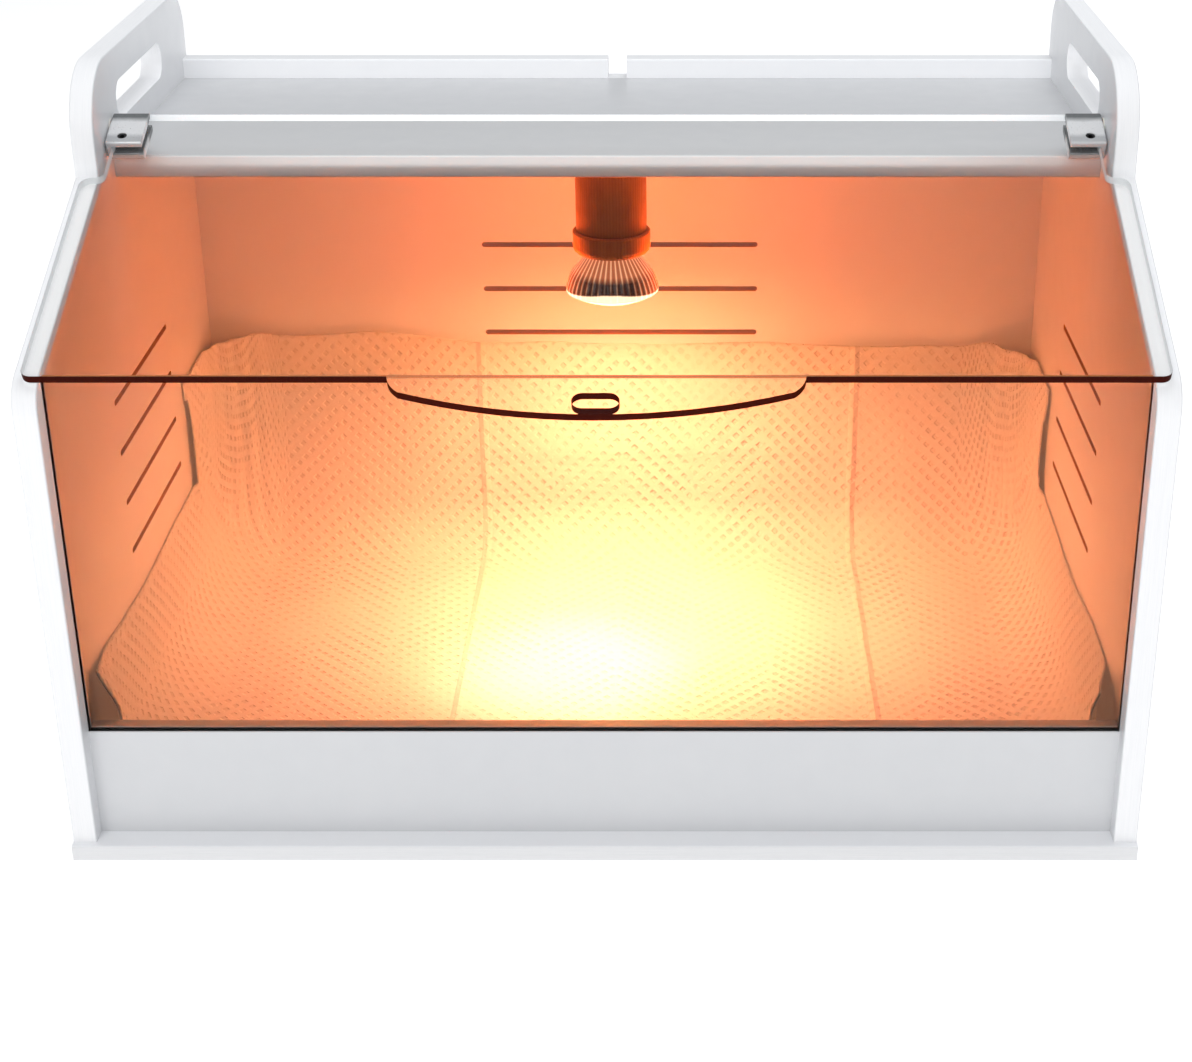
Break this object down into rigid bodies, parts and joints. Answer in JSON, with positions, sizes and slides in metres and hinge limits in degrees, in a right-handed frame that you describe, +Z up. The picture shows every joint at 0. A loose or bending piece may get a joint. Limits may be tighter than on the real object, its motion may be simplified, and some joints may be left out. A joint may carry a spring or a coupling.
{
  "type": "heat lamp brooder cabinet",
  "caption": "White board chick brooder cabinet with a sloping clear lid on pivot clamps, a clear front window, vent slots, carry slots and a reflector heat lamp under its top board.",
  "frame": {"origin": "centre of the base board's underside", "axes": "+X along the width to the right, +Y from the window to the back panel, +Z up"},
  "size_m": [0.54, 0.3838, 0.3676],
  "materials": {
    "white_board": "white laminated board, satin",
    "clear_acrylic": "clear pane with dark polished edges",
    "clear_acrylic_lid": "clear lid with dark polished edges",
    "liner_cloth": "embossed absorbent sheet",
    "zinc_steel": "zinc plated",
    "beech": "plain beech",
    "chrome": "polished",
    "clear_rubber": "soft clear",
    "black_steel": "black oxide",
    "bright_steel": "bright",
    "nylon": "matt nylon",
    "white_rubber": "matt",
    "holder_plastic": "moulded, satin",
    "porcelain": "glazed",
    "brass": "satin",
    "reflector_glass": "mirrored inside, ribbed",
    "lens_glass": "frosted, glowing",
    "cap_aluminium": "satin",
    "black_glass": "black glass insulator",
    "solder": "solder",
    "stem_glass": "clear",
    "tungsten": "glowing"
  },
  "bodies": {
    "cabinet": {"base_board": "white_board", "left_side_panel": "white_board", "right_side_panel": "white_board", "back_panel": "white_board", "top_board": "white_board", "front_board": "white_board", "front_window": "clear_acrylic", "floor_liner": "liner_cloth", "base_screws": "zinc_steel", "panel_dowels": "beech", "left_pivot_bush": "nylon", "right_pivot_bush": "nylon", "cord_grommet": "white_rubber", "holder_cover": "holder_plastic", "holder_ring": "holder_plastic", "holder_base": "holder_plastic", "socket_core": "porcelain", "screw_shell": "brass", "centre_contact": "brass", "terminal_blocks": "brass", "terminal_screws": "bright_steel", "core_screws": "zinc_steel", "mounting_screws": "zinc_steel"},
    "lid": {"lid": "clear_acrylic_lid", "left_hinge_clamp": "chrome", "left_hinge_pads": "clear_rubber", "left_clamp_screw": "black_steel", "left_hinge_pin": "bright_steel", "right_hinge_clamp": "chrome", "right_hinge_pads": "clear_rubber", "right_clamp_screw": "black_steel", "right_hinge_pin": "bright_steel"},
    "bulb_tip": {"contact_tip": "solder"},
    "bulb": {"bulb_reflector": "reflector_glass", "bulb_lens": "lens_glass", "bulb_cap": "cap_aluminium", "cap_insulator": "black_glass", "bulb_stem": "stem_glass", "lead_wires": "bright_steel", "filament": "tungsten"}
  },
  "joints": [
    {"name": "lid_hinge", "type": "hinge", "parent": "cabinet", "child": "lid", "pos_m": [0, 0.00124, 0.33008], "axis": [-1, 0, 0], "range_deg": [0, 141]},
    {"name": "bulb_travel", "type": "slide", "parent": "cabinet", "child": "bulb_tip", "axis": [0, 0, -1], "range_m": [0, 0.0109]},
    {"name": "bulb_turn", "type": "hinge", "parent": "bulb_tip", "child": "bulb", "pos_m": [0, 0.038, 0.25], "axis": [0, 0, -1], "range_deg": [0, 1080]}
  ],
  "couplings": [
    {"joint": "bulb_travel", "follows": "bulb_turn", "m_per_rad": 0.00057773}
  ]
}
